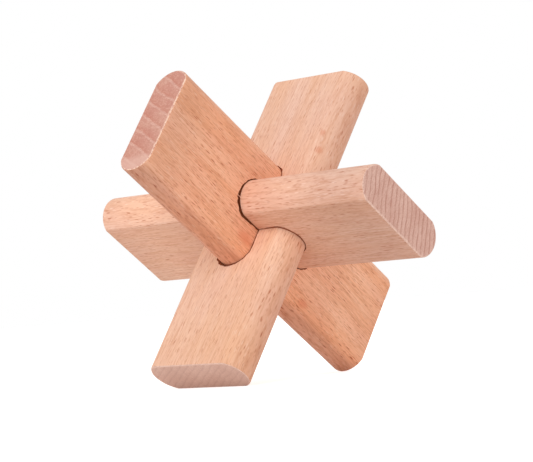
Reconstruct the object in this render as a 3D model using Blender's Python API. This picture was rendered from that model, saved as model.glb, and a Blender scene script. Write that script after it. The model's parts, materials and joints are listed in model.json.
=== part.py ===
"""Three-board burr puzzle in beech.

Three equal boards with rounded long edges cross at right angles. Each one goes through a slot in
the next: the crossbar goes through the sliding board, the sliding board through the window board,
and the window board through the crossbar. Two of the slots are also open to an edge, and
these openings let the puzzle come apart:

- the crossbar's slot is T-shaped, so a single neck joins its two halves,
- the sliding board's slot is L-shaped, and the crossbar's neck leaves through its foot,
- the window board's slot is a plain closed window.

The puzzle stands on the lower end of the window board and on one corner of the sliding board.
The crossbar is level, along X. The origin is on the table, right below the crossing.
"""

import math

import bmesh
import bpy
from mathutils import Matrix, Quaternion, Vector

# Driving dimensions, in metres
BOARD_LENGTH = 0.085
BOARD_WIDTH = 0.029
BOARD_THICKNESS = 0.010
EDGE_RADIUS = 0.0053  # more than half the thickness: a faint ridge is left along each rounded edge
FIT_GAP = 0.0003  # between a board and the walls of the slot that it goes through
END_ROUNDING = 0.0004  # the sanded edge round each sawn end

# Fineness of the curves
EDGE_SEGMENTS = 16  # an even number puts a point at the tip of the curve
END_ROUNDING_SEGMENTS = 2
SHARP_ANGLE = math.radians(15)  # between the segments of a curve and the ridges

CUTTER_OVERRUN = 0.004  # how far a cutter reaches past the wood that it removes

# Each board is modelled lying flat: length along X, width along Y, thickness along Z.
HALF_LENGTH = BOARD_LENGTH / 2
HALF_WIDTH = BOARD_WIDTH / 2
HALF_THICKNESS = BOARD_THICKNESS / 2
SLOT_HALF_LENGTH = HALF_WIDTH + FIT_GAP
SLOT_HALF_HEIGHT = HALF_THICKNESS + FIT_GAP

# How far the crossed boards lean over until both feet touch the table
LEAN = math.atan2(HALF_LENGTH - HALF_WIDTH, HALF_LENGTH - HALF_THICKNESS)
CROSSING_HEIGHT = (
    (HALF_LENGTH - END_ROUNDING) * math.cos(LEAN)
    + (HALF_THICKNESS - END_ROUNDING) * math.sin(LEAN)
    + END_ROUNDING
)

# A third of a turn about this diagonal takes each board's place to the next one's.
DIAGONAL = Vector((1, 1, 1))
THIRD_OF_A_TURN = math.radians(120)

# Colour, then roughness
CROSSBAR_WOOD = (0.72, 0.44, 0.30), 0.62
SLIDING_BOARD_WOOD = (0.68, 0.38, 0.23), 0.60
WINDOW_BOARD_WOOD = (0.76, 0.49, 0.34), 0.62


def clear_scene():
    for leftover in list(bpy.data.objects):
        bpy.data.objects.remove(leftover)


def beech(name, colour, roughness):
    material = bpy.data.materials.new(name)
    material.use_nodes = True
    shader = material.node_tree.nodes["Principled BSDF"]
    shader.inputs["Base Color"].default_value = (*colour, 1)
    shader.inputs["Roughness"].default_value = roughness
    shader.inputs["Metallic"].default_value = 0
    return material


def turned(thirds):
    """The rotation that moves a board by this many places round the diagonal."""
    return Quaternion(DIAGONAL, THIRD_OF_A_TURN * thirds)


def rounded_outline(half_length, half_height, radius):
    """A bar of this size with rounded ends, as points in the XY plane, anticlockwise."""
    centre = half_length - radius
    reach = math.asin(half_height / radius)
    points = []
    for side in (1, -1):
        for step in range(EDGE_SEGMENTS + 1):
            angle = reach * (2 * step / EDGE_SEGMENTS - 1)
            x = centre + radius * math.cos(angle)
            y = radius * math.sin(angle)
            points.append((side * x, side * y))
    return points


def rectangle_outline(low, high):
    return [(low[0], low[1]), (high[0], low[1]), (high[0], high[1]), (low[0], high[1])]


def extruded(outline, half_depth):
    """A bmesh of this outline, extruded along Z to both sides of the XY plane."""
    shape = bmesh.new()
    floor = shape.faces.new([shape.verts.new((x, y, -half_depth)) for x, y in outline])
    grown = bmesh.ops.extrude_face_region(shape, geom=[floor])
    top = [item for item in grown["geom"] if isinstance(item, bmesh.types.BMVert)]
    bmesh.ops.translate(shape, vec=(0, 0, 2 * half_depth), verts=top)
    bmesh.ops.recalc_face_normals(shape, faces=shape.faces)
    return shape


def new_object(name, shape, parent):
    mesh = bpy.data.meshes.new(name)
    shape.to_mesh(mesh)
    shape.free()
    mesh.shade_smooth()
    mesh.set_sharp_from_angle(angle=SHARP_ANGLE)
    made = bpy.data.objects.new(name, mesh)
    bpy.context.scene.collection.objects.link(made)
    made.parent = parent
    return made


def round_the_ends(shape):
    """Rounds the edge round each end of a board that lies along X."""
    tolerance = END_ROUNDING / 10
    end_edges = [
        edge for edge in shape.edges
        if all(abs(abs(vert.co.x) - HALF_LENGTH) < tolerance for vert in edge.verts)
    ]
    bmesh.ops.bevel(
        shape,
        geom=end_edges,
        offset=END_ROUNDING,
        segments=END_ROUNDING_SEGMENTS,
        profile=0.5,
        affect="EDGES",
    )


def plain_board(name, wood, place, stand):
    """A board before its slot is cut, turned into its place in the puzzle."""
    shape = extruded(rounded_outline(HALF_WIDTH, HALF_THICKNESS, EDGE_RADIUS), HALF_LENGTH)
    bmesh.ops.transform(shape, matrix=turned(1).to_matrix(), verts=shape.verts)
    round_the_ends(shape)
    board = new_object(name, shape, stand)
    board.data.materials.append(beech(f"{name}_beech", *wood))
    board.rotation_mode = "QUATERNION"
    board.rotation_quaternion = turned(place)
    return board


def cut(board, feature, outline):
    """Cuts this outline right through the board's thickness."""
    shape = extruded(outline, HALF_THICKNESS + CUTTER_OVERRUN)
    cutter = new_object(f"{board.name}_{feature}_cutter", shape, board)
    cutter.hide_render = True
    cutter.display_type = "WIRE"
    removal = board.modifiers.new(feature, "BOOLEAN")
    removal.operation = "DIFFERENCE"
    removal.object = cutter


def slot_outline():
    """A slot for the next board: that board's section, with the fitting gap all round."""
    return rounded_outline(SLOT_HALF_LENGTH, SLOT_HALF_HEIGHT, EDGE_RADIUS + FIT_GAP)


def make_crossbar(stand):
    """The level board. The opening in its upper edge is as wide as a board is thick."""
    crossbar = plain_board("crossbar", CROSSBAR_WOOD, 0, stand)
    cut(crossbar, "slot", slot_outline())
    low = (-SLOT_HALF_HEIGHT, 0)
    high = (SLOT_HALF_HEIGHT, HALF_WIDTH + CUTTER_OVERRUN)
    cut(crossbar, "opening", rectangle_outline(low, high))


def make_sliding_board(stand):
    """The board that slides lengthwise. The foot of its slot is as wide as the crossbar's neck."""
    board = plain_board("sliding_board", SLIDING_BOARD_WOOD, 1, stand)
    cut(board, "slot", slot_outline())
    low = (-SLOT_HALF_LENGTH, -HALF_WIDTH - CUTTER_OVERRUN)
    high = (-HALF_THICKNESS, 0)
    cut(board, "opening", rectangle_outline(low, high))


def make_window_board(stand):
    """The steep board that carries the others. Its slot is a closed window."""
    board = plain_board("window_board", WINDOW_BOARD_WOOD, 2, stand)
    cut(board, "slot", slot_outline())


def make_stand():
    """An empty at the crossing, tipped so that the boards inside it stand as on a table."""
    stand = bpy.data.objects.new("crossing", None)
    bpy.context.scene.collection.objects.link(stand)
    tipped = Matrix.Rotation(math.pi - LEAN, 4, "X")
    stand.matrix_world = Matrix.Translation((0, 0, CROSSING_HEIGHT)) @ tipped
    return stand


def main():
    clear_scene()
    stand = make_stand()
    make_crossbar(stand)
    make_sliding_board(stand)
    make_window_board(stand)


main()
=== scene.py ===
"""Looks of the three-board burr puzzle: sanded beech boards on a white table, in soft studio light.

Each board replaces its CAD node with a finer mesh. It is modelled lying flat in its own axes, length
along X, width along Y and thickness along Z, and then placed. Its upper face is the one at +Z there,
whichever way that faces in the puzzle. The wood is one solid pattern in those axes: flecks run along
the length, and the rays that make them cross the ends as lines.
"""

import json
import math

import bmesh
import bpy
from mathutils import Matrix, Vector, noise


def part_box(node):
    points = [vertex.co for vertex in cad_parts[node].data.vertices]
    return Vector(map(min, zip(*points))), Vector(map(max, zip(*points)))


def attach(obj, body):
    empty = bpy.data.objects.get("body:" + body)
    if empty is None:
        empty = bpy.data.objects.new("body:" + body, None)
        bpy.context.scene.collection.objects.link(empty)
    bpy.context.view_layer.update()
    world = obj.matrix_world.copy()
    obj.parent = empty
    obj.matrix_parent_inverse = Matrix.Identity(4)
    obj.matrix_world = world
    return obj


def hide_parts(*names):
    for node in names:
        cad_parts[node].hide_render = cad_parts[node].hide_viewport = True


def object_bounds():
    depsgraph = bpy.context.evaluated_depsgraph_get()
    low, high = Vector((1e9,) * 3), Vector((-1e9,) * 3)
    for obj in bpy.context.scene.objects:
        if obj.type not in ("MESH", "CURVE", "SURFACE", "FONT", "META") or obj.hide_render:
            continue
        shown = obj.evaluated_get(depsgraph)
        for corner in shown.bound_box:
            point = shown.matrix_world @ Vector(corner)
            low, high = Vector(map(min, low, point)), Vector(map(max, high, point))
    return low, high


MM = 0.001

# Shape of the boards, beyond what the frame gives
EDGE_RADIUS = 5.3 * MM  # of the long edges; a little over half the thickness, which leaves ridges
END_ROUNDING = 0.45 * MM
END_ROUNDING_SEGMENTS = 6
# the paler line on an end's rounding is a painted highlight
EDGE_HIGHLIGHT = 0.35  # the part of an end's rounding, next to the sawn face, that shows as a paler line
ARC_SEGMENTS = 48
SLOT_ARC_SEGMENTS = 24
SHARP_ANGLE = math.radians(16)  # between the steps of an end's rounding and the ridges
SURFACE_TOLERANCE = 0.02 * MM  # how far off a surface the middle of one of its faces may lie
LARGEST_FACES_COUNT = 100  # the weight at which only the largest faces set the normals

# Shape of the slots. One end of each is cut too wide on the board's upper face: its rough spot.
FIT_GAP = 0.13 * MM  # the visible slots are a little tighter than the running fit
OUTLINE_STEP = 0.35 * MM  # between points along the straight runs of a slot
CUTTER_OVERRUN = 4 * MM  # how far a cutter reaches past the wood that it removes
RIM_DEPTH = 0.35 * MM  # how deep the worn rim of a slot goes
RIM_WEAR = 0.30 * MM  # how far the rim is worn back at most
RIM_WAVES = 3.1  # how many times finer the wear changes than the chips do
BACK_WEAR = 0.3  # the wear and the chips on a board's lower face, as a share of those on its upper face
CHIP_WIDTH = 0.20 * MM  # how far the largest chips reach out from the slot
CHIP_LENGTH = 1.6 * MM
CHIP_START = 0.12  # the noise above which the rim is chipped,
CHIP_RANGE = 0.5  # and how much more of it gives the largest chips
ROUGH_SPOT_GAP = 0.60 * MM
ROUGH_SPOT_RADIUS = 6 * MM
ROUGH_SPOT_RISE = 1.6  # over 1, so the gap is at its full width before the middle of the rough spot
ROUGH_SPOT_WAVES = 2.3  # how many times finer the rough spot changes than the chips do
ROUGH_SPOT_SHARES = (0.75, 0.5)  # of its gap: the mean, and how far it swings to both sides of that

CROSSBAR_ROUGH_SPOT = Vector((13, 4)) * MM
SLIDING_BOARD_ROUGH_SPOT = Vector((13, 3.5)) * MM
WINDOW_BOARD_ROUGH_SPOT = Vector((13.5, -3.5)) * MM

# How far apart the noise is read for the two faces of a board, and for one board and the next
FACE_SEED_STEP = 10 * MM
BOARD_SEED_STEP = 20 * MM

# Kinds of surface, which are also the places in each board's list of materials
SIDE, END, EDGE, SLOT, RIM = range(5)

# Camera: at about half the height of the boards, almost level, and a little rolled
CAMERA_AZIMUTH = math.radians(42.44)
CAMERA_ELEVATION = math.radians(-1.94)
CAMERA_ROLL = math.radians(-4.45)
CAMERA_DISTANCE = 0.4878
CAMERA_LENS_MM = 137.05
SENSOR_WIDTH_MM = 36
CROSSING_IN_VIEW = (-0.92 * MM, 1.10 * MM)  # right and up of the view's centre
CLIP_START = 10 * MM

# Studio: an even white room and one soft lamp, up to the left of the camera
ROOM_LIGHT = 0.82
TABLE_SIZE = 6
TABLE_GREY = 0.82
TABLE_ROUGHNESS = 0.9
TABLE_SPECULAR = 0.1
TABLE_GLOW = 0.15  # how strongly the table glows on the boards,
TABLE_WHITENING = 0.62  # and how strongly it glows to the camera
LAMP_DIRECTION = Vector((0.30, -0.75, 0.65))
LAMP_DISTANCE = 0.9
LAMP_SIZE = 0.35
LAMP_POWER = 1.56

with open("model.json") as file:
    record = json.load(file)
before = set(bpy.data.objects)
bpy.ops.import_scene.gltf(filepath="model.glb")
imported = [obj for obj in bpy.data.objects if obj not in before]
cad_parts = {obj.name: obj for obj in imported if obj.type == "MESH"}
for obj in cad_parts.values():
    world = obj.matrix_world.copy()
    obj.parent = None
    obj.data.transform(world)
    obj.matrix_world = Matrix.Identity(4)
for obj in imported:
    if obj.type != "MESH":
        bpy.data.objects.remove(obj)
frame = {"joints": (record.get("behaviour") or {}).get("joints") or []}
cad_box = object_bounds()


# ---------------------------------------------------------------- places


def puzzle_axes():
    """The three directions that the boards follow, from the joints, and the point where they cross."""
    slides = {joint["name"]: Vector(joint["axis"]) for joint in frame["joints"]}
    x_axis = Vector((1, 0, 0))
    y_axis = -slides["sliding_board_slide"]
    z_axis = -slides["crossbar_slide"]
    low, high = (Vector(corner) for corner in cad_box)
    return (x_axis, y_axis, z_axis), (low + high) / 2


def board_sizes():
    """Length, width and thickness: each is the extent along X of the board that lies that way."""
    sizes = []
    for node in ("crossbar", "window_board", "sliding_board"):
        low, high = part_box(node)
        sizes.append(high.x - low.x)
    return sizes


AXES, CROSSING = puzzle_axes()
LENGTH, WIDTH, THICKNESS = board_sizes()
HALF_LENGTH, HALF_WIDTH, HALF_THICKNESS = LENGTH / 2, WIDTH / 2, THICKNESS / 2
# How far the ridges along a board lie from its middle line
RIDGE = HALF_WIDTH - EDGE_RADIUS + math.sqrt(EDGE_RADIUS**2 - HALF_THICKNESS**2)
SLOT_HALF_LENGTH = HALF_WIDTH + FIT_GAP
SLOT_HALF_HEIGHT = HALF_THICKNESS + FIT_GAP


def board_place(index):
    """Where a board lies: its length, width and thickness take three axes of the puzzle in turn."""
    columns = [AXES[(index + turn) % 3] for turn in range(3)]
    return Matrix.Translation(CROSSING) @ Matrix(columns).transposed().to_4x4()


# ---------------------------------------------------------------- meshes


def arc(centre, radius, start, end, segments):
    """Points of an arc round this centre, from one angle to another."""
    points = []
    for step in range(segments + 1):
        angle = start + (end - start) * step / segments
        points.append(centre + radius * Vector((math.cos(angle), math.sin(angle))))
    return points


def rounded_outline(half_length, half_height, radius, segments):
    """A bar of this size with rounded ends, anticlockwise."""
    centre = half_length - radius
    reach = math.asin(half_height / radius)
    right = arc(Vector((centre, 0)), radius, -reach, reach, segments)
    left = arc(Vector((-centre, 0)), radius, math.pi - reach, math.pi + reach, segments)
    return right + left


def subdivided(outline, step):
    """The outline with extra points along its straight runs."""
    points = []
    for start, end in zip(outline, outline[1:] + outline[:1]):
        count = max(1, round((end - start).length / step))
        points += [start.lerp(end, index / count) for index in range(count)]
    return points


def outward(outline, index):
    """The outward direction at a point of an anticlockwise outline."""
    along = outline[(index + 1) % len(outline)] - outline[index - 1]
    return Vector((along.y, -along.x)).normalized()


def lofted(rings):
    """A closed bmesh through rings of points that all have the same count, low end first."""
    shape = bmesh.new()
    loops = [[shape.verts.new(point) for point in ring] for ring in rings]
    count = len(loops[0])
    for low, high in zip(loops, loops[1:]):
        for here in range(count):
            after = (here + 1) % count
            shape.faces.new((low[here], low[after], high[after], high[here]))
    shape.faces.new(reversed(loops[0]))
    shape.faces.new(loops[-1])
    bmesh.ops.recalc_face_normals(shape, faces=shape.faces)
    return shape


def overcut(point, seed, rough_spot):
    """How much too wide a slot is cut at this point: only near its rough spot, and unevenly."""
    distance = (point - rough_spot).length
    near = min(1.0, ROUGH_SPOT_RISE * max(0.0, 1 - distance / ROUGH_SPOT_RADIUS))
    uneven = noise.noise(Vector((point.x, point.y, seed)) * ROUGH_SPOT_WAVES / CHIP_LENGTH)
    mean, swing = ROUGH_SPOT_SHARES
    return ROUGH_SPOT_GAP * near * (mean + swing * uneven)


def chipping(point, seed):
    """How far the rim of a slot is broken back at this point: a little everywhere, more at chips."""
    place = Vector((point.x, point.y, seed)) / CHIP_LENGTH
    wear = (1 + noise.noise(place * RIM_WAVES)) / 2
    chip = min(1.0, max(0.0, noise.noise(place) - CHIP_START) / CHIP_RANGE)
    return RIM_WEAR * wear + CHIP_WIDTH * chip


def slot_cutter(outline, seed, rough_spot):
    """Cuts a slot with this outline, too wide at one spot of the board's upper face.

    Near both faces of the board its rim is worn and chipped.
    """
    outline = subdivided(outline, OUTLINE_STEP)
    levels = []
    for side, overcut_share, wear_share in ((-1, 0, BACK_WEAR), (1, 1, 1)):
        face = side * HALF_THICKNESS
        face_seed = seed + side * FACE_SEED_STEP
        heights = (face - side * RIM_DEPTH, face, face + side * CUTTER_OVERRUN)
        rings = [[], [], []]
        for index, point in enumerate(outline):
            away = outward(outline, index)
            wall = point + away * overcut(point, face_seed, rough_spot) * overcut_share
            rim = wall + away * chipping(point, face_seed) * wear_share
            for ring, spot, height in zip(rings, (wall, rim, rim), heights):
                ring.append(spot.to_3d() + Vector((0, 0, height)))
        levels += rings if side > 0 else reversed(rings)
    shape = lofted(levels)
    bmesh.ops.triangulate(shape, faces=shape.faces)
    return shape


def block_cutter(low, high):
    """Cuts a straight opening between these two corners, right through the thickness."""
    corners = [(low[0], low[1]), (high[0], low[1]), (high[0], high[1]), (low[0], high[1])]
    reach = HALF_THICKNESS + CUTTER_OVERRUN
    return lofted([[Vector((x, y, z)) for x, y in corners] for z in (-reach, reach)])


def plain_board():
    """A board with rounded long edges and a fine rounding round each sawn end."""
    outline = rounded_outline(HALF_WIDTH, HALF_THICKNESS, EDGE_RADIUS, ARC_SEGMENTS)
    rings = []
    for side in (-1, 1):
        for step in range(END_ROUNDING_SEGMENTS + 1):
            angle = math.pi / 2 * step / END_ROUNDING_SEGMENTS
            inset = END_ROUNDING * (1 - math.sin(angle))
            x = side * (HALF_LENGTH - END_ROUNDING * (1 - math.cos(angle)))
            ring = [
                Vector((x, *(point - outward(outline, index) * inset)))
                for index, point in enumerate(outline)
            ]
            rings.append((x, ring))
    rings.sort(key=lambda item: item[0])
    return lofted([ring for _, ring in rings])


def mesh_object(name, shape):
    mesh = bpy.data.meshes.new(name)
    shape.to_mesh(mesh)
    shape.free()
    made = bpy.data.objects.new(name, mesh)
    bpy.context.scene.collection.objects.link(made)
    return made


def apply_modifiers(piece):
    """Makes the modified shape the object's own mesh."""
    bpy.context.view_layer.update()
    evaluated = piece.evaluated_get(bpy.context.evaluated_depsgraph_get())
    old = piece.data
    piece.data = bpy.data.meshes.new_from_object(evaluated)
    piece.modifiers.clear()
    bpy.data.meshes.remove(old)
    piece.data.name = piece.name


def cut(board, shape):
    cutter = mesh_object(board.name + "_cutter", shape)
    removal = board.modifiers.new("cut", "BOOLEAN")
    removal.operation = "DIFFERENCE"
    removal.solver = "EXACT"
    removal.object = cutter
    apply_modifiers(board)
    bpy.data.objects.remove(cutter)


def shade(board):
    """Smooth shading with sharp ridges, where the large flat faces set the normals at their borders."""
    board.data.shade_smooth()
    board.data.set_sharp_from_angle(angle=SHARP_ANGLE)
    weighted = board.modifiers.new("normals", "WEIGHTED_NORMAL")
    weighted.keep_sharp = True
    weighted.weight = LARGEST_FACES_COUNT
    apply_modifiers(board)


def surface_of(centre):
    """Which kind of surface a face of a board belongs to, from where its middle lies."""
    if abs(centre.x) > HALF_LENGTH - SURFACE_TOLERANCE:
        return END
    if abs(centre.x) > HALF_LENGTH - EDGE_HIGHLIGHT * END_ROUNDING:
        return EDGE
    if abs(centre.x) > HALF_LENGTH - END_ROUNDING:
        return SIDE
    across = max(abs(centre.y) - (HALF_WIDTH - EDGE_RADIUS), 0)
    depth = min(HALF_THICKNESS - abs(centre.z), EDGE_RADIUS - math.hypot(across, centre.z))
    if depth < 2 * SURFACE_TOLERANCE:
        return SIDE
    return RIM if HALF_THICKNESS - abs(centre.z) < RIM_DEPTH else SLOT


def finish_board(board, index):
    """Sorts the faces into surfaces, stores where each point lies in the wood, and places the board."""
    mesh = board.data
    for polygon in mesh.polygons:
        polygon.material_index = surface_of(polygon.center)
    place = mesh.attributes.new("wood_place", "FLOAT_VECTOR", "POINT")
    for vertex, item in zip(mesh.vertices, place.data):
        item.vector = vertex.co / MM
    mesh.transform(board_place(index))
    shade(board)


# ---------------------------------------------------------------- wood

# Every length in this section is in millimetres, unless it says so. The size of a feature is given
# along the grain, across it and through it. Noise lies round 0.5, so a pair of levels near that says
# where a feature starts to show and where it shows in full.


def rgb(red, green, blue):
    """A colour given as it is seen, 0 to 255, made linear."""
    parts = [value / 255 for value in (red, green, blue)]
    return (*(part / 12.92 if part <= 0.04045 else ((part + 0.055) / 1.055) ** 2.4 for part in parts), 1)


# Sizes on the sides of a board
LONG_WAVE, LONG_WAVE_SWING = 26, 1.2  # of the grain, which wanders to the side as it runs along
SHORT_WAVE, SHORT_WAVE_SWING = 5, 0.6
BAND_SIZE = (60, 5.5, 9)
CLOUD_SIZE = (16, 7, 7)
STREAK_SIZE = (7, 0.24, 1.2)
CROWD_SIZE = (14, 4, 6)  # of the places where the long flecks are strong or faint
KNOT_STRETCH = (0.6, 1, 0)  # a knot is longer than wide, and goes right through the board
KNOT_CORE = 0.25  # the part of a knot's radius that has its full colour

# Flecks: the size of the cell that holds one, and how far a fleck reaches from its own middle
LONG_FLECKS = (2.5, 0.65, 0.62), (1.1, 0.125, 0.28)
SHORT_FLECKS = (1.5, 0.40, 0.36), (0.7, 0.09, 0.15)
PALE_FLECKS = (2.3, 0.55, 0.52), (1.05, 0.12, 0.24)
PALE_FLECK_OFFSET = (9, 9, 9)  # so that they don't lie on the dark ones
FLECK_CORE = 0.4  # the part of a fleck's reach that has its full strength
CHANCE_LEVELS = (0.1, 0.9)  # below and above these, a cell's random number gives
FLECK_STRENGTHS = (0.2, 1.0)  # the least and the greatest strength

# The painted light and shade on the rounded edges, and the brown line of painted shade round a board where
# it leaves the next one's slot, in the shadow of the gap
RIDGE_BLEND = 0.3  # how softly the tone changes at a ridge
GAP_SHADE = 0.45  # width of the line
GAP_SHADE_BLEND = 0.03

# Sizes on the sawn ends and in the slots
RAY_WAVE_SIZE = (30, 5, 6)
RAY_PEAK = 0.25  # of the way from one line to the next: where the wave that draws a line is highest
RING_CURVE = 2.0  # over 1, so a ring deepens slowly at first
END_TONE_SIZE = (30, 4.5, 7)
FAINT_RAY_SIZE = (20, 1.1, 3.0)
END_GRAIN_SIZE = (20, 0.22, 1.4)
PORE_SIZE = (5, 0.3, 0.3)
FOOT_REACH = (10.0, 12.5)  # how far towards +Y the foot of an end starts, and where it shows in full
RAGGED_SIZE = (20, 0.9, 0.9)
PALE_HIGHLIGHT_BLEND = 0.2
SPECKLE_SIZE = (1.5, 0.45, 0.45)
SCORCH_SIZE = (3, 3, 0.8)
TORN_SIZE = (1.2, 0.4, 0.4)

# How strongly a feature shows, 0 to 1
CLOUD_SHOWS = 0.35
FAINTEST_FLECKS_SHOW = 0.35  # as a share of the strongest ones
SHORT_FLECKS_SHOW = 0.55  # as a share of the long ones
PALE_FLECKS_SHOW = 0.5
KNOT_SHOWS = 0.42
GAP_SHADE_SHOWS = 0.85
FAINTEST_RAY_SHOWS = 0.35  # as a share of the clearest ones
END_GRAIN_SHOWS = 0.45
DARK_PORES_SHOW = 0.4
PALE_PORES_SHOW = 0.3
PALE_HIGHLIGHT_SHOWS = 0.8

# Colours of the cut wood. Its glow stands in for light that seeps through the boards.
# painted shade: the brown line in the gaps where one board enters the next one's slot
GAP_SHADE_COLOUR = rgb(176, 84, 42)
# dark brown of the worn, chipped rims, which also paints the shade in the gaps
TORN_AND_SHADED = rgb(132, 60, 30)
# walls of the slots: browned by the cutter, and darker still as painted shade in the gaps
SCORCHED_AND_SHADED_PALE = rgb(228, 164, 126)
SCORCHED_AND_SHADED_DARK = rgb(206, 132, 94)
WOOD_GLOW_COLOUR = rgb(112, 76, 46)
WOOD_GLOW = 0.16

# Finish: roughness changes from one value to the other between these levels of noise
ROUGHNESS_LEVELS = (0.3, 0.7)
SIDE_ROUGHNESS = (0.52, 0.68)
END_ROUGHNESS = (0.68, 0.82)
EDGE_ROUGHNESS = (0.55, 0.7)
CUT_ROUGHNESS = (0.7, 0.85)
SIDE_SPECULAR = 0.35
END_SPECULAR = 0.2
SANDED_BUMP = 0.05 * MM  # in metres
CUT_BUMP = 0.1 * MM  # in metres
SUNK_FLECKS = 0.3  # how much the long flecks lie lower, as a share of the streaks' height

# Added to a board's seed, so that each kind of surface has a pattern of its own
END_SEED, EDGE_SEED, SLOT_SEED, RIM_SEED = 3, 5, 7, 9
SEED_OFFSET = (37.0, 11.0, 5.0)  # how far apart the wood of one seed and the next lies


class Nodes:
    """A short way to write a material's nodes."""

    def __init__(self, name):
        self.material = bpy.data.materials.new(name)
        self.material.use_nodes = True
        self.tree = self.material.node_tree
        self.shader = self.tree.nodes["Principled BSDF"]

    def add(self, kind, settings=None, **inputs):
        """A new node. An input's name is written with _ for a space."""
        node = self.tree.nodes.new(kind)
        for key, value in (settings or {}).items():
            setattr(node, key, value)
        for key, value in inputs.items():
            self.put(node.inputs[key.replace("_", " ")], value)
        return node

    def put(self, socket, value):
        """Links a node's output to this socket, or sets the socket to a plain value."""
        if isinstance(value, bpy.types.NodeSocket):
            self.tree.links.new(value, socket)
        else:
            socket.default_value = value

    def math(self, operation, first, second=0.0):
        node = self.add("ShaderNodeMath", {"operation": operation})
        self.put(node.inputs[0], first)
        self.put(node.inputs[1], second)
        return node.outputs[0]

    def vector(self, operation, first, second=(0, 0, 0)):
        node = self.add("ShaderNodeVectorMath", {"operation": operation})
        self.put(node.inputs[0], first)
        self.put(node.inputs[1], second)
        return node.outputs["Value" if operation == "LENGTH" else "Vector"]

    def ranged(self, value, low, high, to_low=0.0, to_high=1.0):
        """Maps low..high smoothly to to_low..to_high."""
        node = self.add(
            "ShaderNodeMapRange",
            {"interpolation_type": "SMOOTHSTEP"},
            Value=value,
            From_Min=low,
            From_Max=high,
            To_Min=to_low,
            To_Max=to_high,
        )
        return node.outputs["Result"]

    def mixed(self, factor, first, second, blend="MIX"):
        """The first colour, mixed with the second by this factor."""
        node = self.add("ShaderNodeMix", {"data_type": "RGBA", "blend_type": blend}, Factor=factor)
        colours = [socket for socket in node.inputs if socket.type == "RGBA"]
        self.put(colours[0], first)
        self.put(colours[1], second)
        return next(socket for socket in node.outputs if socket.type == "RGBA")

    def tinted(self, factor, colour, tint):
        """The colour, multiplied by the tint where the factor is 1."""
        return self.mixed(factor, colour, (*tint, 1), blend="MULTIPLY")

    def board_point(self):
        """Where a point lies in the board, from the board's middle."""
        return self.add("ShaderNodeAttribute", {"attribute_name": "wood_place"}).outputs["Vector"]

    def on_axis(self, axis, point=None):
        """How far along this axis a point lies: the point of the board, unless another is given."""
        split = self.add("ShaderNodeSeparateXYZ", Vector=self.board_point() if point is None else point)
        return split.outputs[axis]

    def place(self, seed, tilt=0.0):
        """Where a point lies in the wood: along the grain, across it and through it."""
        moved = self.add(
            "ShaderNodeMapping",
            {"vector_type": "POINT"},
            Vector=self.board_point(),
            Location=[seed * offset for offset in SEED_OFFSET],
            Rotation=(0.0, 0.0, tilt),
        )
        return moved.outputs["Vector"]

    def stretched_noise(self, place, size, detail=2.0, roughness=0.5):
        """Noise whose lumps have this size along, across and through the grain."""
        made = self.add(
            "ShaderNodeTexNoise",
            {"noise_dimensions": "3D"},
            Vector=self.vector("DIVIDE", place, size),
            Scale=1.0,
            Detail=detail,
            Roughness=roughness,
        )
        return made.outputs[0]

    def wandering(self, place, length, amount):
        """The same place, moved across the grain by a wave of about this length along it."""
        wave = self.stretched_noise(place, (length, length / 3, length / 3), detail=1)
        shift = self.add("ShaderNodeCombineXYZ", Y=self.math("MULTIPLY", wave, amount))
        return self.vector("ADD", place, shift.outputs[0])

    def flecks(self, place, cell, reach):
        """One spindle in each cell of this size, at a random place in it and of a random strength.

        reach is how far a spindle goes from its middle along, across and through the grain.
        """
        scaled = self.vector("DIVIDE", place, cell)
        cells = self.add(
            "ShaderNodeTexVoronoi",
            {"voronoi_dimensions": "3D", "feature": "F1"},
            Vector=scaled,
            Scale=1.0,
        )
        offset = self.vector("SUBTRACT", scaled, cells.outputs["Position"])
        in_reach = [size / limit for size, limit in zip(cell, reach)]
        distance = self.vector("LENGTH", self.vector("MULTIPLY", offset, in_reach))
        spindle = self.ranged(distance, 1.0, FLECK_CORE)
        chance = self.add("ShaderNodeSeparateColor", Color=cells.outputs["Color"])
        strength = self.ranged(chance.outputs["Red"], *CHANCE_LEVELS, *FLECK_STRENGTHS)
        return self.math("MULTIPLY", spindle, strength)

    def finish(self, colour, texture, roughness):
        """Gives the surface its colour, and a roughness that follows this texture."""
        self.put(self.shader.inputs["Base Color"], colour)
        rough = self.ranged(texture, *ROUGHNESS_LEVELS, *roughness)
        self.put(self.shader.inputs["Roughness"], rough)

    def bump(self, height, strength, distance):
        node = self.add("ShaderNodeBump", Strength=strength, Distance=distance, Height=height)
        self.put(self.shader.inputs["Normal"], node.outputs["Normal"])

    def glow(self):
        self.shader.inputs["Emission Color"].default_value = WOOD_GLOW_COLOUR
        self.shader.inputs["Emission Strength"].default_value = WOOD_GLOW


def with_patches(nodes, colour, look):
    """Painted light and shade: lighter and darker stretches along the board, as the light falls along it.
    """
    along = nodes.on_axis("X")
    for middle, reach, tint in look["patches"]:
        away = nodes.math("ABSOLUTE", nodes.math("SUBTRACT", along, middle))
        colour = nodes.tinted(nodes.ranged(away, reach, 0.0), colour, tint)
    return colour


def with_knots(nodes, colour, look):
    """Small pin knots with soft borders."""
    for (along, across), size in look["knots"]:
        offset = nodes.vector("SUBTRACT", nodes.board_point(), (along, across, 0))
        distance = nodes.vector("LENGTH", nodes.vector("MULTIPLY", offset, KNOT_STRETCH))
        shows = nodes.ranged(distance, size, size * KNOT_CORE, 0.0, KNOT_SHOWS)
        colour = nodes.mixed(shows, colour, look["knot"])
    return colour


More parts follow.
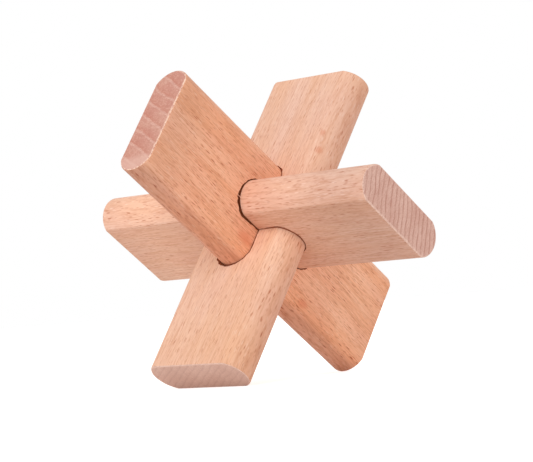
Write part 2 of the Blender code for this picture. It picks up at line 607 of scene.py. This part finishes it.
def with_rub_line(nodes, colour):
    """Painted shade: the brown line round both sides of the crossing, just inside the next board's slot,
    where the gap's shadow falls.
    """
    from_middle = nodes.math("ABSOLUTE", nodes.on_axis("X"))
    slot_reach = HALF_THICKNESS / MM
    inside = nodes.ranged(from_middle, slot_reach + GAP_SHADE_BLEND, slot_reach - GAP_SHADE_BLEND)
    start, full = slot_reach - GAP_SHADE, slot_reach - GAP_SHADE / 2
    shade_level = nodes.ranged(from_middle, start, full, 0.0, GAP_SHADE_SHOWS)
    return nodes.mixed(nodes.math("MULTIPLY", inside, shade_level), colour, GAP_SHADE_COLOUR)


def with_edge_tints(nodes, colour, look):
    """Painted light and shade: another tone on each rounded long edge, from the ridge outwards, as the
    light falls there.
    """
    across = nodes.on_axis("Y")
    turned = nodes.ranged(nodes.on_axis("Z"), *look["painted_edge_heights"])
    ridge = RIDGE / MM
    for side, tint in zip((-1, 1), look["edge_tints"]):
        on_edge = nodes.ranged(across, side * (ridge - RIDGE_BLEND), side * (ridge + RIDGE_BLEND))
        colour = nodes.tinted(nodes.math("MULTIPLY", on_edge, turned), colour, tint)
    return colour


def beech_side(name, look):
    """Sanded side grain: soft bands, fine streaks, and short dark flecks along the board."""
    nodes = Nodes(name)
    place = nodes.wandering(nodes.place(look["seed"], look["tilt"]), LONG_WAVE, LONG_WAVE_SWING)
    place = nodes.wandering(place, SHORT_WAVE, SHORT_WAVE_SWING)

    bands = nodes.stretched_noise(place, BAND_SIZE, detail=3, roughness=0.55)
    colour = nodes.mixed(nodes.ranged(bands, 0.32, 0.68), look["light"], look["warm"])

    cloud = nodes.stretched_noise(place, CLOUD_SIZE)
    colour = nodes.mixed(nodes.ranged(cloud, 0.35, 0.7, 0.0, CLOUD_SHOWS), colour, look["pink"])

    streaks = nodes.stretched_noise(place, STREAK_SIZE, detail=3, roughness=0.6)
    streak_shade = nodes.ranged(streaks, 0.42, 0.68, 0.0, look["streaks"])
    colour = nodes.mixed(streak_shade, colour, look["streak"])

    pale_flecks = nodes.flecks(nodes.vector("ADD", place, PALE_FLECK_OFFSET), *PALE_FLECKS)
    colour = nodes.mixed(nodes.math("MULTIPLY", pale_flecks, PALE_FLECKS_SHOW), colour, look["pale_fleck"])
    crowd_noise = nodes.stretched_noise(place, CROWD_SIZE, detail=1)
    crowd = nodes.ranged(crowd_noise, 0.3, 0.6, FAINTEST_FLECKS_SHOW, 1.0)
    long_flecks = nodes.math("MULTIPLY", nodes.flecks(place, *LONG_FLECKS), crowd)
    long_shade = nodes.math("MULTIPLY", long_flecks, look["flecks"])
    colour = nodes.mixed(long_shade, colour, look["fleck"])
    short_flecks = nodes.flecks(place, *SHORT_FLECKS)
    short_shade = nodes.math("MULTIPLY", short_flecks, look["flecks"] * SHORT_FLECKS_SHOW)
    colour = nodes.mixed(short_shade, colour, look["fleck"])

    colour = with_patches(nodes, colour, look)
    colour = with_knots(nodes, colour, look)
    colour = with_rub_line(nodes, colour)
    colour = with_edge_tints(nodes, colour, look)

    nodes.finish(colour, streaks, SIDE_ROUGHNESS)
    nodes.shader.inputs["Specular IOR Level"].default_value = SIDE_SPECULAR
    sunk_flecks = nodes.math("MULTIPLY", long_shade, SUNK_FLECKS)
    nodes.bump(nodes.math("SUBTRACT", streaks, sunk_flecks), strength=0.15, distance=SANDED_BUMP)
    return nodes.material


def ray_turns(nodes, place, look):
    """Counts the ray lines across a sawn end: it rises by 1 from one line to the next."""
    wave = nodes.math("MULTIPLY", nodes.stretched_noise(place, RAY_WAVE_SIZE), look["ray_wander"])
    bent = nodes.math("ADD", nodes.on_axis("Y", place), wave)
    lean = nodes.math("MULTIPLY", nodes.on_axis("Z", place), look["ray_lean"])
    return nodes.math("DIVIDE", nodes.math("ADD", bent, lean), look["ray_spacing"])


def with_foot_and_pale_line(nodes, place, colour, look):
    """The other tone of an end's foot, near +Y, and a ragged pale line beside the upper face, a painted
    highlight.
    """
    wave = nodes.stretched_noise(place, RAY_WAVE_SIZE)
    across = nodes.math("ADD", nodes.on_axis("Y"), wave)
    colour = nodes.mixed(nodes.ranged(across, *FOOT_REACH, 0.0, look["end_foot"]), colour, look["ray"])
    ragged = nodes.stretched_noise(place, RAGGED_SIZE, detail=3)
    height = nodes.math("ADD", nodes.on_axis("Z"), ragged)
    face = HALF_THICKNESS / MM
    line = nodes.ranged(height, face - PALE_HIGHLIGHT_BLEND, face + PALE_HIGHLIGHT_BLEND, 0.0, PALE_HIGHLIGHT_SHOWS)
    return nodes.mixed(line, colour, look["edge"])


def beech_end(name, look):
    """Sawn end grain: rays cross the thickness as fine lines, over rings and speckles."""
    nodes = Nodes(name)
    place = nodes.place(look["seed"] + END_SEED)

    tone = nodes.stretched_noise(place, END_TONE_SIZE)
    colour = nodes.mixed(nodes.ranged(tone, 0.35, 0.65), look["end_pink"], look["end_pale"])

    turns = ray_turns(nodes, place, look)
    since_line = nodes.math("FRACT", nodes.math("SUBTRACT", turns, RAY_PEAK))
    ring_shade = nodes.math("MULTIPLY", nodes.math("POWER", since_line, RING_CURVE), look["ring_depth"])
    colour = nodes.mixed(ring_shade, colour, look["ring"])
    wave = nodes.math("SINE", nodes.math("MULTIPLY", turns, 2 * math.pi))
    lines = nodes.ranged(wave, look["ray_edge"], 1.0, 0.0, look["rays"])
    clear_noise = nodes.stretched_noise(place, FAINT_RAY_SIZE)
    clear = nodes.ranged(clear_noise, 0.25, 0.6, FAINTEST_RAY_SHOWS, 1.0)
    colour = nodes.mixed(nodes.math("MULTIPLY", lines, clear), colour, look["ray"])

    grain = nodes.stretched_noise(place, END_GRAIN_SIZE, roughness=0.6)
    colour = nodes.mixed(nodes.ranged(grain, 0.42, 0.7, 0.0, END_GRAIN_SHOWS), colour, look["end_dark"])
    pores = nodes.stretched_noise(place, PORE_SIZE, roughness=0.6)
    colour = nodes.mixed(nodes.ranged(pores, 0.5, 0.66, 0.0, DARK_PORES_SHOW), colour, look["end_dark"])
    colour = nodes.mixed(nodes.ranged(pores, 0.48, 0.34, 0.0, PALE_PORES_SHOW), colour, look["edge"])
    colour = with_foot_and_pale_line(nodes, place, colour, look)

    nodes.finish(colour, grain, END_ROUGHNESS)
    nodes.shader.inputs["Specular IOR Level"].default_value = END_SPECULAR
    nodes.bump(nodes.math("SUBTRACT", grain, pores), strength=0.3, distance=SANDED_BUMP)
    return nodes.material


def beech_edge(name, look):
    """The fine sanded rounding between a side and an end: a paler line, a painted highlight."""
    nodes = Nodes(name)
    speckle = nodes.stretched_noise(nodes.place(look["seed"] + EDGE_SEED), SPECKLE_SIZE)
    colour = nodes.mixed(nodes.ranged(speckle, 0.42, 0.62), look["edge"], look["end_pink"])
    nodes.finish(colour, speckle, EDGE_ROUGHNESS)
    nodes.bump(speckle, strength=0.2, distance=SANDED_BUMP)
    return nodes.material


def scorched_slot(name, look):
    """Walls of a slot, browned by the cutter, and darker than the wood as painted shade in the gaps."""
    nodes = Nodes(name)
    scorch = nodes.stretched_noise(nodes.place(look["seed"] + SLOT_SEED), SCORCH_SIZE, detail=3)
    colour = nodes.mixed(nodes.ranged(scorch, 0.3, 0.7), SCORCHED_AND_SHADED_PALE, SCORCHED_AND_SHADED_DARK)
    nodes.finish(colour, scorch, CUT_ROUGHNESS)
    nodes.bump(scorch, strength=0.3, distance=CUT_BUMP)
    nodes.glow()
    return nodes.material


def torn_rim(name, look):
    """Raw fibres where the edge of a slot is worn and chipped, in a dark brown that also paints the shade
    of the gap there.
    """
    nodes = Nodes(name)
    torn = nodes.stretched_noise(nodes.place(look["seed"] + RIM_SEED), TORN_SIZE, detail=3)
    colour = nodes.mixed(nodes.ranged(torn, 0.3, 0.7), TORN_AND_SHADED, look["fleck"])
    nodes.finish(colour, torn, CUT_ROUGHNESS)
    nodes.bump(torn, strength=0.4, distance=CUT_BUMP)
    nodes.glow()
    return nodes.material


# The looks of each board, in the axes in which it lies flat.
#   tilt: of the grain to the board's length
#   light, warm, pink: the tones of the sides; streak, fleck, pale_fleck, knot: the marks in them
#   streaks, flecks, rays, ring_depth, end_foot: how strongly those show, 0 to 1
#   patches: middle along the board, reach and tint of each lighter or darker stretch of painted light and
#       shade
#   knots: place along and across the board, and radius, of each pin knot
#   edge_tints: tints of painted light and shade on the rounded edges at -Y and +Y
#   painted_edge_heights: the height (Z) at which the painted edge tint starts, and the one where it shows
#       in full
#   end_pink, end_pale, end_dark, edge: the tones of the sawn ends and of the pale lines there, which are
#       painted highlights; edge also gives the pale pores
#   ray, ring: of the lines on the sawn ends, and of the shade that deepens from one line to the next
#   ray_spacing, ray_wander, ray_lean: how far apart the lines lie, stray and lean over
#   ray_edge: the level of their wave, -1 to 1, above which they show: the higher, the thinner
BOARD_LOOKS = {
    "crossbar": {
        "seed": 1,
        "tilt": 0.0,
        "light": rgb(232, 187, 162),
        "warm": rgb(228, 176, 145),
        "pink": rgb(227, 172, 149),
        "streak": rgb(208, 149, 118),
        "streaks": 0.72,
        "fleck": rgb(178, 98, 66),
        "flecks": 0.85,
        "pale_fleck": rgb(246, 208, 188),
        "patches": ((36, 20, (0.86, 0.86, 0.88)), (-30, 18, (1.12, 1.14, 1.13))),
        "knots": (),
        "knot": rgb(196, 112, 84),
        "edge_tints": ((1.0, 1.0, 1.0), (1.18, 1.24, 1.30)),
        "painted_edge_heights": (5.0, 4.7),
        "end_pink": rgb(219, 173, 157),
        "end_pale": rgb(229, 187, 171),
        "end_dark": rgb(193, 142, 125),
        "end_foot": 0.0,
        "edge": rgb(240, 202, 184),
        "ray": rgb(178, 116, 102),
        "rays": 0.7,
        "ray_spacing": 1.6,
        "ray_edge": 0.35,
        "ray_wander": 2.0,
        "ray_lean": 0.38,
        "ring": rgb(205, 150, 134),
        "ring_depth": 0.25,
    },
    "sliding_board": {
        "seed": 2,
        "tilt": math.radians(1.5),
        "light": rgb(253, 191, 155),
        "warm": rgb(245, 173, 131),
        "pink": rgb(243, 175, 145),
        "streak": rgb(217, 145, 106),
        "streaks": 0.72,
        "fleck": rgb(178, 84, 44),
        "flecks": 0.95,
        "pale_fleck": rgb(255, 210, 180),
        "patches": (
            (40, 14, (0.88, 0.90, 0.93)),
            (-5, 19, (1.12, 1.18, 1.20)),
            (-31, 14, (1.04, 1.08, 1.10)),
        ),
        "knots": (((8, 9.2), 2.2), ((-17, 11.3), 1.4)),
        "knot": rgb(226, 118, 78),
        "edge_tints": ((0.98, 1.02, 1.16), (0.79, 0.75, 0.77)),
        "painted_edge_heights": (4.4, 2.6),
        "end_pink": rgb(209, 148, 132),
        "end_pale": rgb(217, 163, 145),
        "end_dark": rgb(192, 132, 116),
        "end_foot": 0.6,
        "edge": rgb(252, 214, 190),
        "ray": rgb(234, 190, 174),
        "rays": 0.6,
        "ray_spacing": 4.0,
        "ray_edge": 0.7,
        "ray_wander": 1.4,
        "ray_lean": -0.62,
        "ring": rgb(196, 118, 98),
        "ring_depth": 0.65,
    },
    "window_board": {
        "seed": 3,
        "tilt": math.radians(2.0),
        "light": rgb(249, 204, 179),
        "warm": rgb(245, 193, 160),
        "pink": rgb(244, 194, 171),
        "streak": rgb(226, 169, 137),
        "streaks": 0.72,
        "fleck": rgb(192, 112, 76),
        "flecks": 0.82,
        "pale_fleck": rgb(255, 222, 202),
        "patches": (
            (9, 14, (1.09, 1.15, 1.15)),
            (38, 16, (0.98, 0.95, 0.89)),
            (-32, 18, (0.96, 0.97, 1.0)),
        ),
        "knots": (((-23.5, 12.2), 0.8), ((-18.5, 12.8), 0.9)),
        "knot": rgb(222, 134, 98),
        "edge_tints": ((1.0, 1.0, 1.0), (0.89, 0.80, 0.76)),
        "painted_edge_heights": (4.8, -0.5),
        "end_pink": rgb(225, 185, 168),
        "end_pale": rgb(233, 195, 178),
        "end_dark": rgb(209, 166, 149),
        "end_foot": 0.0,
        "edge": rgb(244, 206, 188),
        "ray": rgb(201, 155, 138),
        "rays": 0.35,
        "ray_spacing": 2.6,
        "ray_edge": 0.4,
        "ray_wander": 2.0,
        "ray_lean": -1.4,
        "ring": rgb(206, 158, 140),
        "ring_depth": 0.3,
    },
}


# ---------------------------------------------------------------- boards


# One maker for each kind of surface, in the order of the material slots
SURFACE_MAKERS = {SIDE: beech_side, END: beech_end, EDGE: beech_edge, SLOT: scorched_slot, RIM: torn_rim}


def make_board(node, index, rough_spot, opening=None):
    """One finished board in its place, riding on its body and standing for its CAD node.

    rough_spot is where its slot is cut too wide. opening is two corners of the way from its slot to an
    edge, if it has one.
    """
    board = mesh_object(node + "_wood", plain_board())
    slot_radius = EDGE_RADIUS + FIT_GAP
    outline = rounded_outline(SLOT_HALF_LENGTH, SLOT_HALF_HEIGHT, slot_radius, SLOT_ARC_SEGMENTS)
    cut(board, slot_cutter(outline, index * BOARD_SEED_STEP, rough_spot))
    if opening:
        cut(board, block_cutter(*opening))
    for surface in sorted(SURFACE_MAKERS):
        maker = SURFACE_MAKERS[surface]
        board.data.materials.append(maker(f"{node}_{maker.__name__}", BOARD_LOOKS[node]))
    finish_board(board, index)
    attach(board, node)
    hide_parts(node)


def make_boards():
    """The crossbar opens at its +Y edge, and the sliding board at its -Y edge, from its slot's end."""
    beyond = HALF_WIDTH + CUTTER_OVERRUN
    crossbar_opening = (-SLOT_HALF_HEIGHT, 0), (SLOT_HALF_HEIGHT, beyond)
    sliding_board_opening = (-SLOT_HALF_LENGTH, -beyond), (-HALF_THICKNESS, 0)
    make_board("crossbar", 0, CROSSBAR_ROUGH_SPOT, crossbar_opening)
    make_board("sliding_board", 1, SLIDING_BOARD_ROUGH_SPOT, sliding_board_opening)
    make_board("window_board", 2, WINDOW_BOARD_ROUGH_SPOT)


# ---------------------------------------------------------------- studio


def make_table():
    """A white table. The camera sees it whiter than the light that it sends up."""
    bpy.ops.mesh.primitive_plane_add(size=TABLE_SIZE)
    table = bpy.context.object
    table.name = "table"
    nodes = Nodes("white_table")
    nodes.shader.inputs["Base Color"].default_value = (TABLE_GREY, TABLE_GREY, TABLE_GREY, 1)
    nodes.shader.inputs["Roughness"].default_value = TABLE_ROUGHNESS
    nodes.shader.inputs["Specular IOR Level"].default_value = TABLE_SPECULAR
    nodes.shader.inputs["Emission Color"].default_value = (1, 1, 1, 1)
    sight = nodes.add("ShaderNodeLightPath").outputs["Is Camera Ray"]
    glow = nodes.ranged(sight, 0.0, 1.0, TABLE_GLOW, TABLE_WHITENING)
    nodes.put(nodes.shader.inputs["Emission Strength"], glow)
    table.data.materials.append(nodes.material)


def add_lamp():
    light = bpy.data.lights.new("key", "AREA")
    light.shape = "DISK"
    light.size = LAMP_SIZE
    light.energy = LAMP_POWER
    lamp = bpy.data.objects.new("key", light)
    away = LAMP_DIRECTION.normalized()
    lamp.location = CROSSING + away * LAMP_DISTANCE
    lamp.rotation_euler = away.to_track_quat("Z", "Y").to_euler()
    bpy.context.scene.collection.objects.link(lamp)


def light_room():
    """An even white room. The camera sees it brighter than its light on the boards."""
    world = bpy.data.worlds.new("studio")
    world.use_nodes = True
    links, made = world.node_tree.links, world.node_tree.nodes
    background = made["Background"]
    background.inputs["Color"].default_value = (1, 1, 1, 1)
    sight = made.new("ShaderNodeLightPath")
    strength = made.new("ShaderNodeMapRange")
    strength.inputs["To Min"].default_value = ROOM_LIGHT
    strength.inputs["To Max"].default_value = 1.0
    links.new(sight.outputs["Is Camera Ray"], strength.inputs["Value"])
    links.new(strength.outputs["Result"], background.inputs["Strength"])
    bpy.context.scene.world = world


def place_camera():
    """Looks at the crossing, from a direction that is given as an azimuth from the front."""
    back = Vector((
        math.sin(CAMERA_AZIMUTH) * math.cos(CAMERA_ELEVATION),
        -math.cos(CAMERA_AZIMUTH) * math.cos(CAMERA_ELEVATION),
        math.sin(CAMERA_ELEVATION),
    ))
    level_right = Vector((0, 0, 1)).cross(back).normalized()
    right = Matrix.Rotation(CAMERA_ROLL, 3, back) @ level_right
    up = back.cross(right)
    data = bpy.data.cameras.new("camera")
    data.lens = CAMERA_LENS_MM
    data.sensor_width = SENSOR_WIDTH_MM
    data.clip_start = CLIP_START
    camera = bpy.data.objects.new("camera", data)
    bpy.context.scene.collection.objects.link(camera)
    centre = CROSSING - right * CROSSING_IN_VIEW[0] - up * CROSSING_IN_VIEW[1]
    turned = Matrix((right, up, back)).transposed().to_4x4()
    camera.matrix_world = Matrix.Translation(centre + back * CAMERA_DISTANCE) @ turned
    bpy.context.scene.camera = camera


bpy.context.scene.view_settings.view_transform = "Standard"
make_boards()
make_table()
light_room()
add_lamp()
place_camera()
